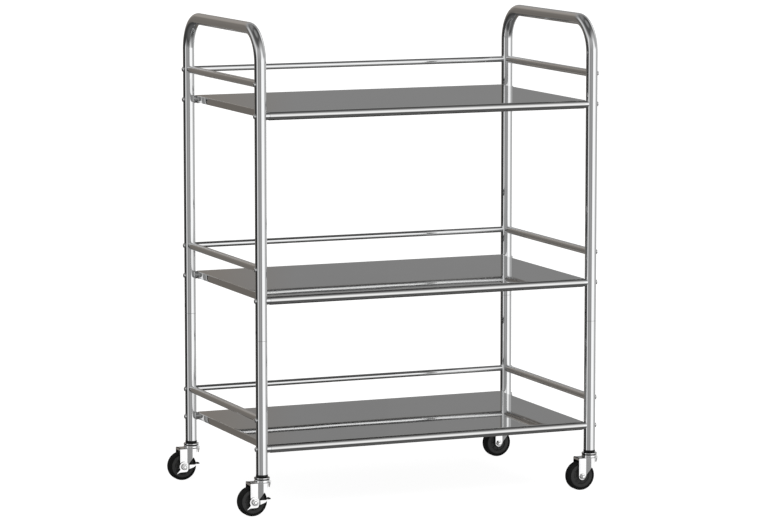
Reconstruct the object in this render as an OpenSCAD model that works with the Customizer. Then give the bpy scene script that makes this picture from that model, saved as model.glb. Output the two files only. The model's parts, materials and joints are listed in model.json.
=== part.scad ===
// Rolling salon trolley: bent tube side frames, three rolled-edge shelves on cross tubes,
// guard rails above each shelf, and four swivel casters, two of them with foot brakes.
// Origin: on the floor, under the middle of the whole trolley, casters included.
// +X right, -Y front, +Z up. Millimetres.

/* [Frame] */
// Distance between the left and right leg centres
frame_w = 610; // [450:5:700]
// Distance between the front and back leg centres
frame_d = 354; // [280:2:450]
// Height of the handle bar's centre line
handle_z = 818; // [760:2:950]
// Outer diameter of the leg and handle tube
leg_dia = 20; // [19:0.5:22]
// Wall thickness of the leg tube
leg_wall = 1.2; // [1:0.1:1.5]
// Bend radius of the handle corners, at the tube's centre line
bend_r = 56; // [45:1:70]
// Height of the cross pins that join the upper frame to the lower legs
pin_z = 311; // [260:1:325]

/* [Shelves] */
// Height of the top shelf's bolts
top_shelf_z = 674; // [600:1:680]
// Height of the middle shelf's bolts
middle_shelf_z = 364; // [362:1:450]
// Height of the bottom shelf's bolts
bottom_shelf_z = 112.5; // [110:0.5:125]
// Sheet thickness of the shelves
sheet = 0.7; // [0.5:0.1:0.7]
// Depth of the turned-down end flanges
flange_h = 12; // [8:1:16]
// Corner radius of the shelf sheet
corner_r = 4; // [3:0.5:6]
// Outer diameter of the shelf tubes
shelf_tube_dia = 13; // [11:0.5:14]

/* [Guard rails] */
// Height of the top tier's rails
top_rail_z = 727; // [710:1:740]
// Height of the middle tier's rails
middle_rail_z = 417; // [405:1:470]
// Height of the bottom tier's rails
bottom_rail_z = 162; // [150:1:180]
// Outer diameter of the side rails
side_rail_dia = 12.7; // [10:0.1:13]
// Outer diameter of the back rails
back_rail_dia = 10.4; // [9:0.1:12]

/* [Casters] */
// Wheel diameter over the tyre
wheel_dia = 50.5; // [48:0.5:51]
// Width of the tyre
tyre_w = 15.5; // [13:0.5:16]
// Distance from the stem axis back to the axle
trail = 18.3; // [17.5:0.1:19]
// Outer width of the fork at the axle
fork_w = 24; // [23.5:0.5:24.5]
// Sheet thickness of the fork
fork_t = 1.7; // [1.5:0.1:1.8]

/* [Fasteners] */
// Shank diameter of the frame bolts
bolt_dia = 5; // [4:0.5:5]
// Diameter of the domed bolt heads
bolt_head_dia = 8.4; // [7:0.1:9]
// Height of the domed bolt heads
bolt_head_h = 2.6; // [2:0.1:3]
// Shank diameter of the caster axles
axle_dia = 6; // [5:0.5:6]

/* [Hidden] */
$fn = 48;
seam_gap = 0.1;
seam_z = pin_z - 14;
slip = 0.05; // radial gap between pieces that slide together

TIERS = ["top", "middle", "bottom"];
SIDES = ["left", "right"];
ENDS = ["front", "back"];
CORNERS = ["front_left", "back_left", "front_right", "back_right"];
CORNER_SIGNS = [[-1, -1], [-1, 1], [1, -1], [1, 1]];
BRAKED = [0, 1]; // the corners that carry a brake lever
shelf_z = [top_shelf_z, middle_shelf_z, bottom_shelf_z];
rail_z = [top_rail_z, middle_rail_z, bottom_rail_z];

leg_r = leg_dia / 2;
leg_bore_r = leg_r - leg_wall;
half_w = frame_w / 2;
half_d = frame_d / 2;
bolt_r = bolt_dia / 2;
bolt_hole_r = bolt_r + 0.1;

// guard rails and shelf tubes
rail_wall = 1;
side_rail_r = side_rail_dia / 2;
side_rail_past = 4; // how far a side rail runs past the leg axis
back_rail_r = back_rail_dia / 2;
shelf_tube_r = shelf_tube_dia / 2;
saddle_in = 4; // how deep the coped tube ends reach towards the leg axis
plug_l = 16;

// shelf sheet
shelf_half_x = half_w - leg_r - 1;
flange_half_y = half_d - shelf_tube_r - 0.3; // the end flanges stop short of the tubes
hem_bore_r = shelf_tube_r + slip;
hem_r = hem_bore_r + sheet + 0.05;
hem_lip = 5.2; // how far below the tube axis the rolled edge tucks under

// leg joints: sleeves inside the legs, and hollow pins across them
sleeve_l = 70;
sleeve_wall = 1.5;
pin_r = 2.5;
pin_bore_r = 1.5;
pin_recess = 0.4; // how far the pins' ends sit inside the leg's surface

// heights up the caster, from the floor
leg_end_z = 69.5;
wheel_r = wheel_dia / 2;
axle_z = wheel_r;
axle_r = axle_dia / 2;
crown_z = 55.4; // underside of the fork's crown plate
crown_t = 2;
crown_r = 14.5; // round front of the crown, about the stem
race_r = 10.8; // the ball race raised on the crown, inside its rounded shoulder
race_round = 2.4;
race_h = 4.6;
groove_depth = 1;
race_top_z = crown_z + crown_t + race_h;
cap_z = race_top_z + 0.7;
socket_z = leg_end_z - 4.5;
cap_r = 13.4;
cap_top_r = 10.6;
ball_r = 1.2;
ball_ring_r = 7.6;
ball_count = 12;
stem_r = 4;
stem_top_z = leg_end_z + 30;
stem_head_r = 7;
stem_head_h = 2;
socket_plug_l = 34;

// fork: each side steps outward in front of the axle, and its front edge slants up to the crown
strap_half = 6.5; // half-width of the fork leg where it holds the axle
step_l = 9.4; // length of the outward step
edge_z = 0.4; // the slanted edge's start above the axle
edge_rise = 1.39; // height gained along the slanted edge per length
lip_z = 47;
lip_reach = 16.8;
lip_half = 3;
back_lip_h = 2.4;

// wheel
tyre_bore_r = 17;
tyre_round = 3;
hub_boss_r = 6;
hub_web_half = 6;

// axle bolt and nut
nut_r = 5.6;
nut_h = 4.5;
axle_head_r = 5;
axle_head_h = 3;

// brake lever
lever_t = 1.6;
lever_gap = 0.8;
lever_ring_r = 8.6;
pedal_z = 4.2; // underside of the pedal, above the axle
pedal_from = 21.4;
pedal_to = 28.6;
pedal_inner_y = -5;
tread_gap = 0.9; // between the pedal's working edge and the tyre

// the frame's centre, off the origin because the wheels trail to the left
// and the axle bolts stand out further in front than behind
bolt_reach = fork_w / 2 + lever_gap + lever_t + 0.1 + nut_h + 1;
frame_x = (trail + wheel_r - lip_reach) / 2;
frame_y = (bolt_reach - fork_w / 2 - axle_head_h) / 2;

// ---- placing helpers ----

function sign_of(side) = side == 0 ? -1 : 1;

// children about the frame's centre
module on_frame() translate([frame_x, frame_y, 0]) children();

// children at a leg's axis, on the floor
module at_corner(i)
    on_frame() translate([CORNER_SIGNS[i][0] * half_w, CORNER_SIGNS[i][1] * half_d, 0]) children();

// children at the axle's centre, with the wheel trailing towards -X
module at_axle(i) at_corner(i) translate([-trail, 0, axle_z]) children();

// a cylinder of radius r along +X, starting at x = from
module rod_x(r, from, to, fn = $fn)
    translate([from, 0, 0]) rotate([0, 90, 0]) cylinder(r = r, h = to - from, $fn = fn);

// a cylinder of radius r along +Y, starting at y = from
module rod_y(r, from, to, fn = $fn)
    translate([0, from, 0]) rotate([-90, 0, 0]) cylinder(r = r, h = to - from, $fn = fn);

// a shape drawn in X and Z, given a thickness along Y
module slab_xz(from, to) translate([0, to, 0]) rotate([90, 0, 0]) linear_extrude(to - from) children();

// ---- side frames ----

// solid inverted U in the plane X = 0, of radius r, reaching down to z = low
module arch(r, low) {
    for (s = [-1, 1]) {
        translate([0, s * half_d, low]) cylinder(r = r, h = handle_z - bend_r - low);
        mirror([0, s < 0 ? 1 : 0, 0]) translate([0, half_d - bend_r, handle_z - bend_r])
            rotate([90, 0, 90]) rotate_extrude(angle = 90) translate([bend_r, 0]) circle(r = r);
    }
    translate([0, 0, handle_z]) rod_y(r, bend_r - half_d, half_d - bend_r);
}

// bolt and rail holes of one leg at one tier, outward along out = -1 or 1, back = the leg is a back leg
module tier_holes(tier, out, back) {
    translate([0, 0, shelf_z[tier]]) rod_x(bolt_hole_r, -leg_r - 1, leg_r + 1);
    translate([0, 0, rail_z[tier]]) {
        mirror([out < 0 ? 1 : 0, 0, 0]) rod_x(bolt_hole_r, back ? -leg_r - 1 : 0, leg_r + 1);
        mirror([0, back ? 1 : 0, 0]) rod_y(side_rail_r + slip, 0, leg_r + 1);
    }
}

module upper_frame(side) {
    color("gainsboro") on_frame() translate([sign_of(side) * half_w, 0, 0]) difference() {
        arch(leg_r, seam_z + seam_gap / 2);
        arch(leg_bore_r, seam_z - 1);
        for (tier = [0, 1], s = [-1, 1])
            translate([0, s * half_d, 0]) tier_holes(tier, sign_of(side), s > 0);
        for (s = [-1, 1]) translate([0, s * half_d, pin_z]) rod_x(pin_r + slip, -leg_r - 1, leg_r + 1);
    }
}

module lower_leg(i) {
    color("gainsboro") at_corner(i) difference() {
        translate([0, 0, leg_end_z]) cylinder(r = leg_r, h = seam_z - seam_gap / 2 - leg_end_z);
        translate([0, 0, leg_end_z - 1]) cylinder(r = leg_bore_r, h = seam_z - leg_end_z + 2);
        tier_holes(2, CORNER_SIGNS[i][0], CORNER_SIGNS[i][1] > 0);
    }
}

module leg_joint_sleeves() {
    color("silver") for (i = [0 : 3]) at_corner(i) translate([0, 0, seam_z - sleeve_l / 2])
        difference() {
            cylinder(r = leg_bore_r - slip, h = sleeve_l);
            translate([0, 0, -1]) cylinder(r = leg_bore_r - sleeve_wall, h = sleeve_l + 2);
            translate([0, 0, pin_z - seam_z + sleeve_l / 2]) rod_x(pin_r + slip, -leg_r, leg_r);
        }
}

module leg_joint_pins() {
    pin_half = leg_r - pin_recess;
    color("dimgray") for (i = [0 : 3]) at_corner(i) translate([0, 0, pin_z]) difference() {
        rod_x(pin_r, -pin_half, pin_half);
        rod_x(pin_bore_r, -leg_r, leg_r);
    }
}

// ---- rails and shelf tubes ----

// a tube along X between the left and right legs, its ends coped to the leg tubes
module cross_tube(r, wall) {
    difference() {
        rod_x(r, saddle_in - half_w, half_w - saddle_in);
        rod_x(r - wall, -half_w, half_w);
        for (s = [-1, 1]) translate([s * half_w, 0, -leg_r * 2])
            cylinder(r = leg_r + slip, h = leg_r * 4);
    }
}

module back_rail(tier) {
    color("gainsboro") on_frame() translate([0, half_d, rail_z[tier]]) cross_tube(back_rail_r, rail_wall);
}

module shelf_tube(tier, end) {
    color("gainsboro") on_frame() translate([0, sign_of(end) * half_d, shelf_z[tier]])
        cross_tube(shelf_tube_r, rail_wall);
}

// a side rail, whose ends sit inside the legs and are cross-drilled for the bolts
module side_rail(tier, side) {
    reach = half_d + side_rail_past;
    color("gainsboro") on_frame() translate([sign_of(side) * half_w, 0, rail_z[tier]]) difference() {
        rod_y(side_rail_r, -reach, reach);
        rod_y(side_rail_r - rail_wall, -reach - 1, reach + 1);
        for (s = [-1, 1]) translate([0, s * half_d, 0]) rod_x(bolt_hole_r, -leg_r, leg_r);
    }
}

// ---- shelves ----

// the sheet's flat part, with rounded corners
module sheet_outline() {
    square([2 * shelf_half_x, 2 * (half_d - corner_r)], center = true);
    square([2 * (shelf_half_x - corner_r), 2 * half_d], center = true);
    for (x = [-1, 1], y = [-1, 1])
        translate([x * (shelf_half_x - corner_r), y * (half_d - corner_r)]) circle(r = corner_r);
}

// the front edge, rolled round its tube
module rolled_edge() {
    hem_x = shelf_half_x - corner_r;
    difference() {
        rod_x(hem_r, -hem_x, hem_x);
        rod_x(hem_bore_r, -half_w, half_w);
        translate([-half_w, 0, -hem_lip]) cube([frame_w, 2 * hem_r, 3 * hem_r]);
    }
}

module shelf(tier) {
    color("lightsteelblue") on_frame() translate([0, 0, shelf_z[tier]]) {
        translate([0, 0, hem_bore_r]) linear_extrude(sheet) sheet_outline();
        for (s = [0, 1]) {
            mirror([0, s, 0]) translate([0, -half_d, 0]) rolled_edge();
            mirror([s, 0, 0]) translate([shelf_half_x - sheet, -flange_half_y, hem_bore_r + sheet - flange_h])
                cube([sheet, 2 * flange_half_y, flange_h - sheet / 2]);
        }
    }
}

// ---- frame fasteners ----

// a bolt head's dome, standing on Z = 0
module dome() {
    dome_r = (pow(bolt_head_dia / 2, 2) + pow(bolt_head_h, 2)) / (2 * bolt_head_h);
    rotate_extrude() intersection() {
        translate([0, bolt_head_h - dome_r]) circle(r = dome_r, $fn = 96);
        square([bolt_head_dia, bolt_head_h]);
    }
}

// a domed bolt along X: head outward on the leg's outer face, tip at x = -reach from the leg axis
module frame_bolt(out, reach) {
    mirror([out < 0 ? 1 : 0, 0, 0]) difference() {
        union() {
            rod_x(bolt_r, -reach, leg_r + bolt_head_h / 2);
            translate([leg_r, 0, 0]) rotate([0, 90, 0]) dome();
        }
        rod_x(1.6, leg_r + bolt_head_h - 1.4, leg_r + bolt_head_h + 1, fn = 6);
    }
}

module shelf_bolts() {
    color("silver") for (z = shelf_z, i = [0 : 3])
        at_corner(i) translate([0, 0, z]) frame_bolt(CORNER_SIGNS[i][0], leg_r + plug_l - 2);
}

module front_rail_bolts() {
    color("silver") for (z = rail_z, i = [0, 2])
        at_corner(i) translate([0, 0, z]) frame_bolt(CORNER_SIGNS[i][0], leg_bore_r - 1);
}

module back_rail_bolts() {
    color("silver") for (z = rail_z, i = [1, 3])
        at_corner(i) translate([0, 0, z]) frame_bolt(CORNER_SIGNS[i][0], leg_r + plug_l - 2);
}

// a tapped plug inside the end of a cross tube, just inboard of the leg
module tube_plug(out, r) {
    mirror([out < 0 ? 1 : 0, 0, 0]) difference() {
        rod_x(r, -leg_r - plug_l - 1, -leg_r - 1);
        rod_x(bolt_r + slip, -leg_r - plug_l - 2, 0);
    }
}

module shelf_tube_plugs() {
    color("darkgray") for (z = shelf_z, i = [0 : 3])
        at_corner(i) translate([0, 0, z]) tube_plug(CORNER_SIGNS[i][0], shelf_tube_r - rail_wall - slip);
}

module back_rail_plugs() {
    color("darkgray") for (z = rail_z, i = [1, 3])
        at_corner(i) translate([0, 0, z]) tube_plug(CORNER_SIGNS[i][0], back_rail_r - rail_wall - slip);
}

// cross-tapped plugs in the side rail ends, inside the legs
module side_rail_plugs() {
    color("darkgray") for (z = rail_z, i = [0 : 3])
        at_corner(i) translate([0, 0, z]) mirror([0, CORNER_SIGNS[i][1] > 0 ? 1 : 0, 0]) difference() {
            rod_y(side_rail_r - rail_wall - slip, -side_rail_past, plug_l);
            rod_x(bolt_r + slip, -leg_r, leg_r);
        }
}

// ---- casters: the parts held in the leg ----

// plastic insert that lines the leg's end and grips the stem
module leg_sockets() {
    color("dimgray") for (i = [0 : 3]) at_corner(i) rotate_extrude() polygon([
        [stem_r + slip, socket_z], [leg_r - 0.6, socket_z], [leg_r + 0.3, socket_z + 1.2],
        [leg_r + 0.3, leg_end_z], [leg_bore_r - slip, leg_end_z],
        [leg_bore_r - slip, leg_end_z + socket_plug_l], [stem_r + slip, leg_end_z + socket_plug_l]
    ]);
}

// kingpin: shank in the socket, riveted head under the fork's crown
module caster_stems() {
    head_top = crown_z - 0.3;
    color("silver") for (i = [0 : 3]) at_corner(i) {
        translate([0, 0, head_top - stem_head_h / 2]) cylinder(r = stem_r, h = stem_top_z - head_top);
        translate([0, 0, head_top - stem_head_h]) cylinder(r = stem_head_r, h = stem_head_h);
    }
}

// round cap over the balls, fixed to the stem
module swivel_caps() {
    top_z = socket_z - slip;
    color("gainsboro") for (i = [0 : 3]) at_corner(i) rotate_extrude() difference() {
        polygon([[stem_r + slip, cap_z], [cap_r, cap_z], [cap_r, cap_z + 1.9], [cap_top_r, top_z],
            [stem_r + slip, top_z]]);
        ball_groove(cap_z - 1, 2);
    }
}

module bearing_balls() {
    ball_z = race_top_z - groove_depth + ball_r + slip;
    color("silver") for (i = [0 : 3], k = [1 : ball_count]) at_corner(i)
        rotate([0, 0, k * 360 / ball_count]) translate([ball_ring_r, 0, ball_z]) sphere(r = ball_r, $fn = 24);
}

// ---- casters: the swivelling parts ----

// section of the groove the balls run in, from z = from up by h
module ball_groove(from, h) translate([ball_ring_r - 1.7, from]) square([3.4, h]);

// section of the ball race on top of the crown
module race_section() {
    difference() {
        union() {
            square([race_r + race_round, race_h - race_round]);
            square([race_r, race_h]);
            translate([race_r, race_h - race_round]) circle(r = race_round, $fn = 32);
        }
        ball_groove(race_h - groove_depth, groove_depth + 1);
    }
}

// the crown seen from above: straight over the wheel, stepping out to a round front
module crown_outline() {
    step_x = strap_half - trail;
    translate([-trail - strap_half, -fork_w / 2]) square([2 * strap_half, fork_w]);
    polygon([[step_x, -fork_w / 2], [step_x + step_l, -crown_r], [0, -crown_r],
        [0, crown_r], [step_x + step_l, crown_r], [step_x, fork_w / 2]]);
    circle(r = crown_r);
}

// the fork's sides seen from the side, about the axle
module fork_side_outline() {
    top = crown_z - axle_z + crown_t / 2;
    circle(r = strap_half);
    polygon([[-strap_half, 0], [strap_half, 0], [strap_half, edge_z],
        [strap_half + (top - edge_z) / edge_rise, top], [-strap_half, top]]);
}

module fork(i) {
    back_x = -trail - strap_half;
    color("gainsboro") at_corner(i) difference() {
        union() {
            translate([0, 0, crown_z]) linear_extrude(crown_t) crown_outline();
            translate([0, 0, crown_z + crown_t - 0.01]) rotate_extrude() race_section();
            intersection() {
                translate([0, 0, axle_z - strap_half - 1])
                    linear_extrude(crown_z + crown_t / 2 - axle_z + strap_half + 1) difference() {
                        crown_outline();
                        offset(delta = -fork_t) crown_outline();
                        translate([back_x - 1, fork_t - fork_w / 2])
                            square([2 * strap_half, fork_w - 2 * fork_t]);
                    }
                translate([-trail, 0, axle_z]) slab_xz(-fork_w, fork_w) fork_side_outline();
            }
            translate([back_x, -fork_w / 2, crown_z - back_lip_h])
                cube([fork_t, fork_w, back_lip_h + crown_t / 2]);
            slab_xz(-lip_half, lip_half) polygon([[crown_r - 2, crown_z + crown_t],
                [lip_reach, crown_z + crown_t], [lip_reach - 2.6, lip_z], [lip_reach - 4.2, lip_z],
                [lip_reach - 2, crown_z], [crown_r - 2, crown_z]]);
        }
        translate([0, 0, crown_z - 1]) cylinder(r = stem_r + slip, h = crown_t + race_h + 2);
        translate([-trail, 0, axle_z]) rod_y(axle_r + slip / 2, -fork_w, fork_w);
    }
}

function nut_face(i) = -fork_w / 2 - (i < len(BRAKED) ? lever_gap + lever_t + 0.1 : 0);

module axle_bolt(i) {
    color("silver") at_axle(i) {
        rod_y(axle_r - slip / 2, nut_face(i) - nut_h - 1, fork_w / 2 + axle_head_h / 2);
        rod_y(axle_head_r, fork_w / 2, fork_w / 2 + axle_head_h);
    }
}

module axle_nut(i) {
    color("silver") at_axle(i) difference() {
        rod_y(nut_r, nut_face(i) - nut_h, nut_face(i) - slip, fn = 6);
        rod_y(axle_r, nut_face(i) - nut_h - 1, 0);
    }
}

// ---- wheels ----

module wheel_hub(i) {
    boss_half = fork_w / 2 - fork_t - 0.6;
    rim_half = tyre_w / 2 - 0.5;
    color("dimgray") at_axle(i) rotate([-90, 0, 0]) difference() {
        union() {
            translate([0, 0, -boss_half]) cylinder(r = hub_boss_r, h = 2 * boss_half);
            translate([0, 0, -hub_web_half]) cylinder(r = tyre_bore_r - 1, h = 2 * hub_web_half);
            difference() {
                translate([0, 0, -rim_half]) cylinder(r = tyre_bore_r, h = 2 * rim_half);
                translate([0, 0, -rim_half - 1]) cylinder(r = tyre_bore_r - 3, h = 2 * rim_half + 2);
            }
        }
        translate([0, 0, -fork_w]) cylinder(r = axle_r + slip / 2, h = 2 * fork_w);
    }
}

// tyre section: a flat tread with rounded shoulders
module tyre_section() {
    flat_half = tyre_w / 2 - tyre_round;
    translate([tyre_bore_r + slip, -tyre_w / 2]) square([wheel_r - tyre_round - tyre_bore_r - slip, tyre_w]);
    translate([tyre_bore_r + slip, -flat_half]) square([wheel_r - tyre_bore_r - slip, 2 * flat_half]);
    for (s = [-1, 1]) translate([wheel_r - tyre_round, s * flat_half]) circle(r = tyre_round);
}

module tyre(i) {
    color([0.12, 0.12, 0.12]) at_axle(i) rotate([-90, 0, 0]) rotate_extrude($fn = 96) tyre_section();
}

// ---- brake lever ----

// side plate outline, about the axle: ring, tail behind and arm in front, up to the pedal
module lever_outline() {
    circle(r = lever_ring_r);
    polygon([[-14.2, -12.4], [-13.6, -12.6], [-8.2, -10], [4.4, -9.6], [6.6, -8], [8.2, -2.6], [-7, -5]]);
    polygon([[6, 4], [9.2, 3.9], [20, 4.1], [pedal_from, pedal_z + 0.2], [pedal_from + 1.8, pedal_z + 0.2],
        [22.6, 2.6], [18.3, -0.8], [12, -3.2], [6, -5.6]]);
}

// pedal seen from above: beside the tyre, then across in front of the tread
module pedal_outline(outer_y) {
    tread_x = sqrt(pow(wheel_r + tread_gap, 2) - pow(pedal_z, 2));
    polygon([[pedal_from, outer_y], [pedal_to, outer_y], [pedal_to, pedal_inner_y], [tread_x, pedal_inner_y],
        [tread_x, -tyre_w / 2 - 1], [pedal_from, -tyre_w / 2 - 1]]);
}

module brake_lever(i) {
    outer_y = -fork_w / 2 - lever_gap - lever_t;
    color("gainsboro") at_axle(i) difference() {
        union() {
            slab_xz(outer_y, outer_y + lever_t) lever_outline();
            translate([0, 0, pedal_z]) linear_extrude(lever_t) pedal_outline(outer_y);
        }
        rod_y(axle_r, -fork_w, 0);
    }
}

// ---- draw ----

for (k = [0, 1]) upper_frame(k);
for (i = [0 : 3]) lower_leg(i);
for (t = [0 : 2]) back_rail(t);
for (t = [0 : 2], k = [0, 1])
    side_rail(t, k);
for (t = [0 : 2]) shelf(t);
for (t = [0 : 2], k = [0, 1])
    shelf_tube(t, k);
leg_joint_sleeves();
leg_joint_pins();
shelf_bolts();
front_rail_bolts();
back_rail_bolts();
shelf_tube_plugs();
back_rail_plugs();
side_rail_plugs();
leg_sockets();
caster_stems();
swivel_caps();
bearing_balls();
for (i = [0 : 3]) fork(i);
for (i = [0 : 3]) axle_bolt(i);
for (i = [0 : 3]) axle_nut(i);
for (i = [0 : 3]) wheel_hub(i);
for (i = [0 : 3]) tyre(i);
for (i = BRAKED) brake_lever(i);
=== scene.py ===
"""Rolling salon trolley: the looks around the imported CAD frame.

The scene is in metres, in the CAD's frame: +X right, -Y front, +Z up, origin on the floor under
the middle. Outlines and profiles are in millimetres, and become metres when a piece is made.
"""
import json
import math

import bmesh
import bpy
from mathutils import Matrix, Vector


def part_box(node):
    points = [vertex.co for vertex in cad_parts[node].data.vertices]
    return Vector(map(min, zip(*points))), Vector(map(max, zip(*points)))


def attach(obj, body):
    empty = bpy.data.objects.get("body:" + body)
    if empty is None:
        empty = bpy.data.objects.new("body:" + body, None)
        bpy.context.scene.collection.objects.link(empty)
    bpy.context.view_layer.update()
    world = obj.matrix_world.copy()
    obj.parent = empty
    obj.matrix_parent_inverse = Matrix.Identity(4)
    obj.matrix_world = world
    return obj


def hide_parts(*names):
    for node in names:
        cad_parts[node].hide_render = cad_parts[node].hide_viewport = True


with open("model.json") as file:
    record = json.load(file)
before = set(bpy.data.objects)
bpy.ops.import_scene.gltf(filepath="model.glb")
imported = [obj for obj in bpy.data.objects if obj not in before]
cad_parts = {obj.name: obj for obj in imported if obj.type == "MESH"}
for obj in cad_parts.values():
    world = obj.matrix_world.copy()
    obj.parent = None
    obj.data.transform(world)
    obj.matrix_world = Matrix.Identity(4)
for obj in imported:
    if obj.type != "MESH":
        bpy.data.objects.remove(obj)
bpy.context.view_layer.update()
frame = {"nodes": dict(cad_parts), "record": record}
scene = bpy.context.scene
MM = 0.001

# ---- camera ----

VIEW_YAW = math.radians(-22.597)
VIEW_PITCH = math.radians(7.42)
CAMERA_X, CAMERA_Y = -2.51221, -6.03457  # from the middle of the four legs
CAMERA_HEIGHT = 1.2481
SENSOR_WIDTH = 36  # mm, as is the focal length
FOCAL_LENGTH = 174.96
CLIP_NEAR, CLIP_FAR = 0.1, 400

leg_boxes = [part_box(node) for node in frame["nodes"] if node.endswith("_lower_leg")]


def middle_of_legs(axis):
    low = min(box[0][axis] for box in leg_boxes)
    high = max(box[1][axis] for box in leg_boxes)
    return (low + high) / 2


mid_x, mid_y = middle_of_legs(0), middle_of_legs(1)


def make_camera():
    data = bpy.data.cameras.new("camera")
    data.sensor_width = SENSOR_WIDTH
    data.lens = FOCAL_LENGTH
    data.clip_start = CLIP_NEAR
    data.clip_end = CLIP_FAR
    camera = bpy.data.objects.new("camera", data)
    camera.location = (mid_x + CAMERA_X, mid_y + CAMERA_Y, CAMERA_HEIGHT)
    camera.rotation_euler = (math.pi / 2 - VIEW_PITCH, 0, VIEW_YAW)
    scene.collection.objects.link(camera)
    scene.camera = camera


make_camera()
scene.view_settings.view_transform = "Standard"
scene.view_settings.look = "None"
scene.view_settings.exposure = 0
scene.view_settings.gamma = 1

# ---- node helpers ----

MIX_A, MIX_B, MIX_RESULT = 6, 7, 2  # the colour sockets of a Mix node


class Nodes:
    """A node tree with short calls for adding and joining nodes."""

    def __init__(self, tree):
        self.tree = tree
        tree.nodes.clear()

    def add(self, kind, **settings):
        node = self.tree.nodes.new(kind)
        for key, value in settings.items():
            setattr(node, key, value)
        return node

    def join(self, source, target):
        self.tree.links.new(source, target)

    def feed(self, socket, value):
        """Joins an output to a socket, or sets the socket's own value."""
        if isinstance(value, bpy.types.NodeSocket):
            self.join(value, socket)
        else:
            socket.default_value = value

    def math(self, operation, a, b=0.0):
        node = self.add("ShaderNodeMath", operation=operation)
        self.feed(node.inputs[0], a)
        self.feed(node.inputs[1], b)
        return node.outputs[0]

    def dot(self, vector, direction):
        node = self.add("ShaderNodeVectorMath", operation="DOT_PRODUCT")
        self.join(vector, node.inputs[0])
        node.inputs[1].default_value = direction
        return node.outputs["Value"]

    def span(self, value, low, high, to_low=0.0, to_high=1.0):
        node = self.add("ShaderNodeMapRange", clamp=True)
        self.join(value, node.inputs["Value"])
        for key, number in (("From Min", low), ("From Max", high), ("To Min", to_low), ("To Max", to_high)):
            node.inputs[key].default_value = number
        return node.outputs["Result"]

    def mix(self, factor, a, b):
        node = self.add("ShaderNodeMix", data_type="RGBA")
        self.feed(node.inputs["Factor"], factor)
        self.feed(node.inputs[MIX_A], a)
        self.feed(node.inputs[MIX_B], b)
        return node.outputs[MIX_RESULT]

    def noise(self, vector, scale, detail=3.0, rough=0.5):
        node = self.add("ShaderNodeTexNoise")
        self.join(vector, node.inputs["Vector"])
        node.inputs["Scale"].default_value = scale
        node.inputs["Detail"].default_value = detail
        node.inputs["Roughness"].default_value = rough
        return node.outputs["Fac"]

    def ramp(self, factor, stops):
        """A colour ramp from (place, colour) stops."""
        node = self.add("ShaderNodeValToRGB")
        self.join(factor, node.inputs[0])
        elements = node.color_ramp.elements
        while len(elements) < len(stops):
            elements.new(0.5)
        for element, (place, colour) in zip(elements, stops):
            element.position = place
            element.color = (*colour, 1)
        return node.outputs[0]


# ---- surroundings: a white studio with soft boxes, seen in the chrome ----

WARM = (1.09, 1.0, 0.91)
NEUTRAL = (1, 1, 1)
STOP_SCALE = 2.0  # a ramp's colours stop at 1, so they are stored divided by this

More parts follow.
